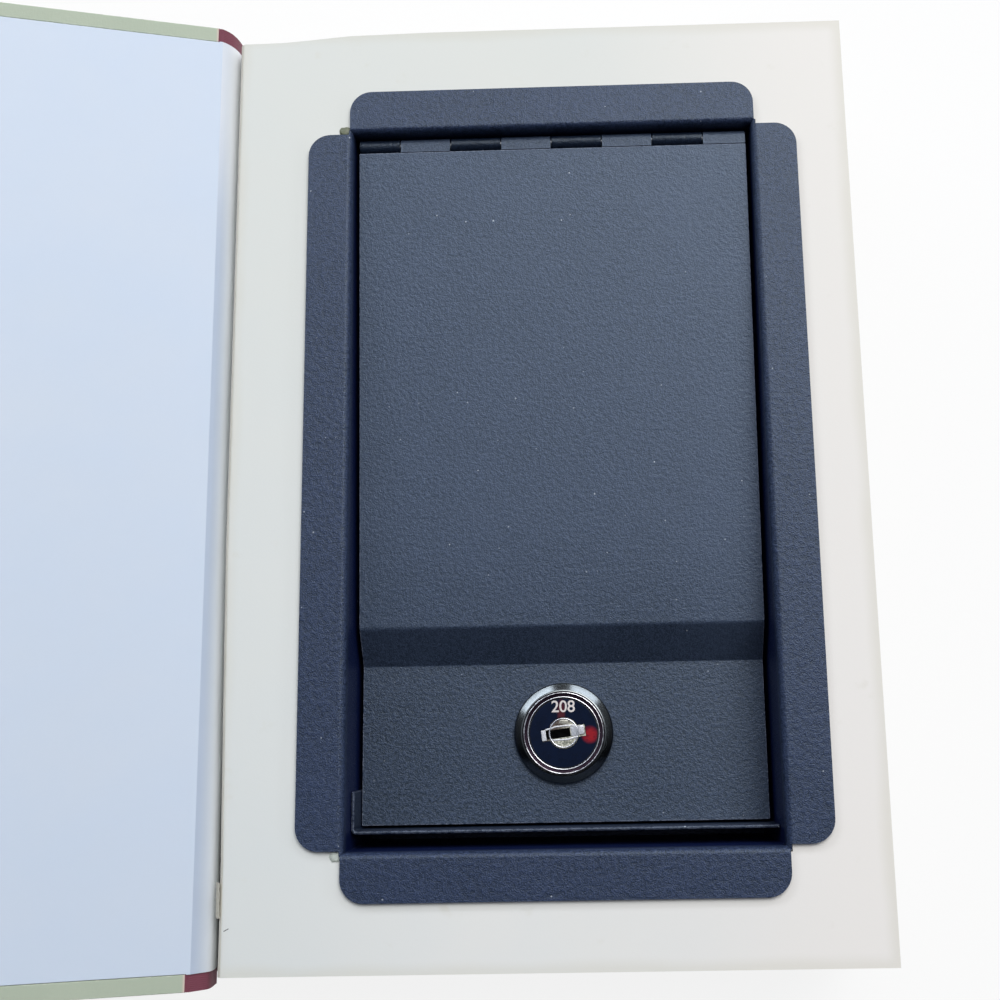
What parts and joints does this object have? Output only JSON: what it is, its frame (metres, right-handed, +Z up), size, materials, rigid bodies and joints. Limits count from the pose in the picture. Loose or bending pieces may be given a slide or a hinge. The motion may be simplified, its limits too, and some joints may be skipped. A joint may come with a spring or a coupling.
{
  "type": "book diversion safe",
  "caption": "Hardback book with cut-out leaves that hold a flanged steel tray under a stepped, piano-hinged lid with a cam lock.",
  "frame": {"origin": "on the face the book lies on, the outside of its back cover, straight under the middle of the leaves", "axes": "+Z up from the back cover through the leaves, +X from the spine to the fore edge, +Y to the head of the book, where the lid is hinged"},
  "size_m": [0.3071, 0.2346, 0.0894],
  "materials": {
    "leaf_paper": "matt uncoated paper, edges cut smooth",
    "end_paper": "matt pale blue-grey lining paper",
    "joint_paper": "matt blue-grey lining paper, creased",
    "side_paper": "sage green covering paper",
    "spine_cloth": "maroon book cloth",
    "grey_board": "grey binding board",
    "muslin": "open muslin set in glue",
    "band_thread": "woven cotton band",
    "slate_coat": "slate blue powder coat on sheet steel, fine texture",
    "bare_steel": "bare drawn steel",
    "black_coat": "gloss black over die-cast zinc",
    "chrome": "bright chrome",
    "nickel": "nickel plate, worn at the keyhole",
    "navy_face": "glossy near-black navy enamel",
    "zinc_steel": "zinc plate",
    "wafer_brass": "stamped brass"
  },
  "bodies": {
    "book": {"page_block": "leaf_paper", "back_board": "grey_board", "back_cover_paper": "side_paper", "back_pastedown": "end_paper", "spine_lining": "muslin", "head_band": "band_thread", "tail_band": "band_thread", "spine_cloth": "spine_cloth", "spine_inlay": "grey_board", "front_joint_cloth": "spine_cloth", "front_endpaper_joint": "joint_paper", "box_tray": "slate_coat", "strike_plate": "slate_coat", "hinge_fixed_leaf": "slate_coat", "hinge_pin": "bare_steel"},
    "front_cover": {"front_board": "grey_board", "front_cover_paper": "side_paper", "front_cloth_lap": "spine_cloth", "front_pastedown": "end_paper"},
    "lid": {"lid_panel": "slate_coat", "hinge_lid_leaf": "slate_coat", "lock_housing": "black_coat", "lock_ring": "chrome", "lock_washer": "zinc_steel", "lock_nut": "zinc_steel"},
    "lock_core": {"lock_plug": "nickel", "lock_face": "navy_face", "stop_washer": "zinc_steel", "lock_cam": "zinc_steel", "cam_washer": "zinc_steel", "cam_screw": "zinc_steel"},
    "wafer_1": {"wafer_1": "wafer_brass"},
    "wafer_2": {"wafer_2": "wafer_brass"},
    "wafer_3": {"wafer_3": "wafer_brass"},
    "wafer_4": {"wafer_4": "wafer_brass"},
    "wafer_5": {"wafer_5": "wafer_brass"}
  },
  "joints": [
    {"name": "front_cover_hinge", "type": "hinge", "parent": "book", "child": "front_cover", "pos_m": [-0.0767, 0, 0.0478], "axis": [0, -1, 0], "range_deg": [-164, 30], "deforming": ["front_joint_cloth", "front_endpaper_joint"]},
    {"name": "lid_hinge", "type": "hinge", "parent": "book", "child": "lid", "pos_m": [0.0027, 0.08485, 0.0441], "axis": [-1, 0, 0], "range_deg": [0, 94]},
    {"name": "lock_turn", "type": "hinge", "parent": "lid", "child": "lock_core", "pos_m": [0.0027, -0.06215, 0.0316], "axis": [0, 0, 1], "range_deg": [-90, 0]},
    {"name": "wafer_1_slide", "type": "slide", "parent": "lock_core", "child": "wafer_1", "axis": [-0.9925, -0.1219, 0], "range_m": [0, 0.0006], "stiffness_N_per_m": 30, "springref_m": -0.002},
    {"name": "wafer_2_slide", "type": "slide", "parent": "lock_core", "child": "wafer_2", "axis": [0.9925, 0.1219, 0], "range_m": [0, 0.0006], "stiffness_N_per_m": 30, "springref_m": -0.002},
    {"name": "wafer_3_slide", "type": "slide", "parent": "lock_core", "child": "wafer_3", "axis": [-0.9925, -0.1219, 0], "range_m": [0, 0.0006], "stiffness_N_per_m": 30, "springref_m": -0.002},
    {"name": "wafer_4_slide", "type": "slide", "parent": "lock_core", "child": "wafer_4", "axis": [0.9925, 0.1219, 0], "range_m": [0, 0.0006], "stiffness_N_per_m": 30, "springref_m": -0.002},
    {"name": "wafer_5_slide", "type": "slide", "parent": "lock_core", "child": "wafer_5", "axis": [-0.9925, -0.1219, 0], "range_m": [0, 0.0006], "stiffness_N_per_m": 30, "springref_m": -0.002}
  ]
}
